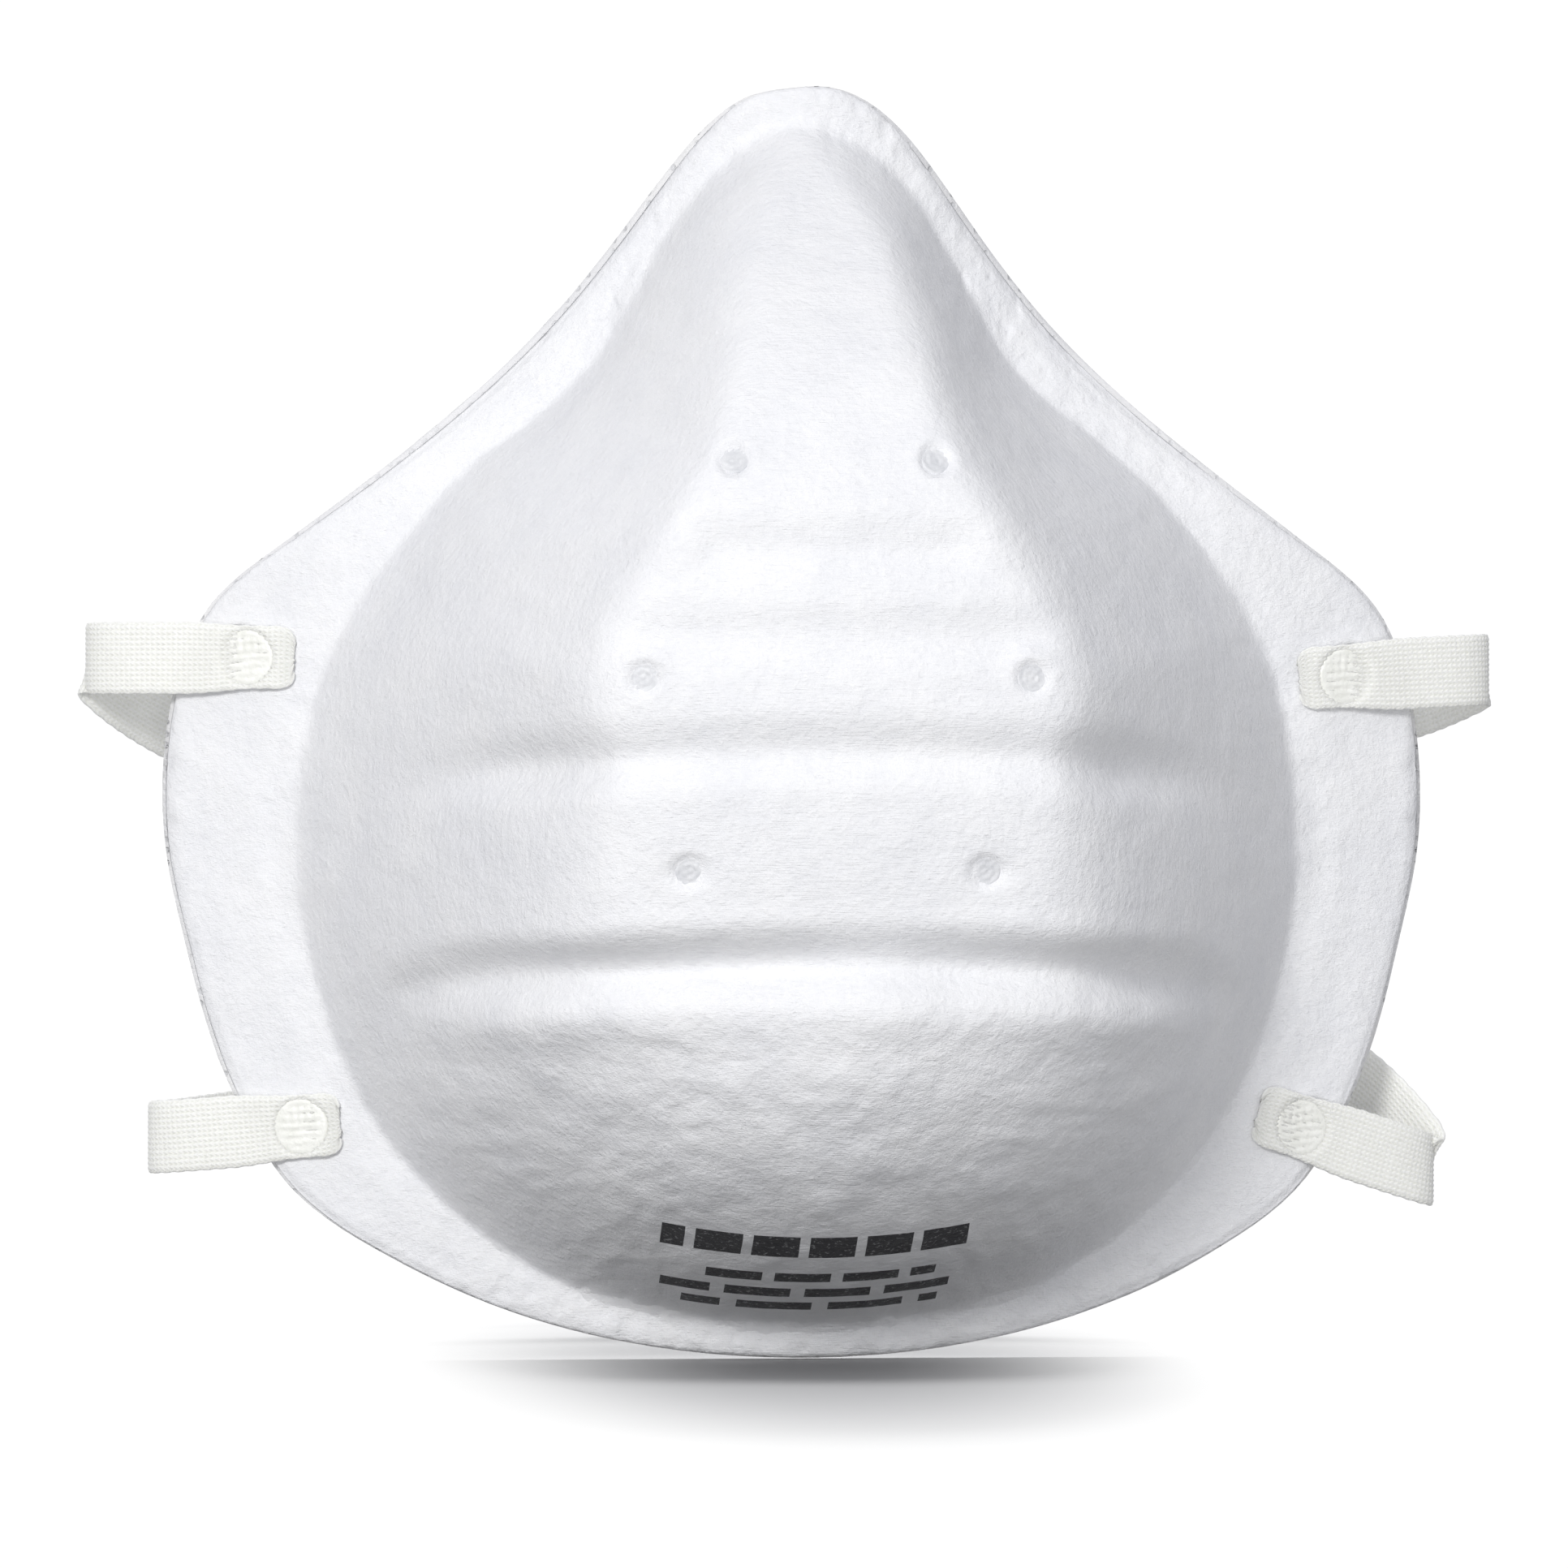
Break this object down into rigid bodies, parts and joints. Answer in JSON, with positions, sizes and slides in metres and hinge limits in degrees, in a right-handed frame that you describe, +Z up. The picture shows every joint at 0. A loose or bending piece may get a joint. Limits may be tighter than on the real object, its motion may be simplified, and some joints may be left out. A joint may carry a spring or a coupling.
{
  "type": "disposable dust mask",
  "caption": "White moulded cup dust mask with ribbed front, flat sealing flange, nose foam and two elastic headbands on welded ends.",
  "frame": {"origin": "middle of the face opening, where the flange meets the face", "axes": "+Z up towards the wearer's nose, -Y out of the front of the cup, +Y towards the wearer's face, +X to the viewer's right"},
  "size_m": [0.1566, 0.1095, 0.1396],
  "materials": {
    "white_nonwoven": "matte heat-moulded polyester nonwoven",
    "filter_fleece": "soft meltblown fleece",
    "lining_fleece": "soft spunbond lining",
    "foam": "open-cell polyurethane foam",
    "elastic": "braided elastic, cream",
    "welded_elastic": "braided elastic pressed and fused by the weld",
    "fused_fibre": "nonwoven fused to a translucent film"
  },
  "bodies": {
    "root": {"outer_shell": "white_nonwoven", "prefilter_web": "filter_fleece", "filter_web": "filter_fleece", "inner_lining": "lining_fleece", "nose_seal_foam": "foam", "upper_left_strap_end": "elastic", "upper_right_strap_end": "elastic", "lower_left_strap_end": "elastic", "lower_right_strap_end": "elastic", "upper_left_strap_weld": "welded_elastic", "upper_right_strap_weld": "welded_elastic", "lower_left_strap_weld": "welded_elastic", "lower_right_strap_weld": "welded_elastic", "upper_left_tack_weld": "fused_fibre", "upper_right_tack_weld": "fused_fibre", "middle_left_tack_weld": "fused_fibre", "middle_right_tack_weld": "fused_fibre", "lower_left_tack_weld": "fused_fibre", "lower_right_tack_weld": "fused_fibre"},
    "upper_headband": {"upper_headband": "elastic"},
    "lower_headband": {"lower_headband": "elastic"}
  },
  "joints": [
    {"name": "upper_headband_swing", "type": "hinge", "parent": "root", "child": "upper_headband", "pos_m": [-0.0002, 0.02316, 0.00659], "axis": [1, -0.0011, -0.008], "range_deg": [-28, 107], "stiffness_Nm_per_rad": 0.008},
    {"name": "lower_headband_swing", "type": "hinge", "parent": "root", "child": "lower_headband", "pos_m": [-0.0001, 0.02013, -0.04704], "axis": [0.9998, -0.0006, -0.021], "range_deg": [-93, 22], "stiffness_Nm_per_rad": 0.008}
  ]
}
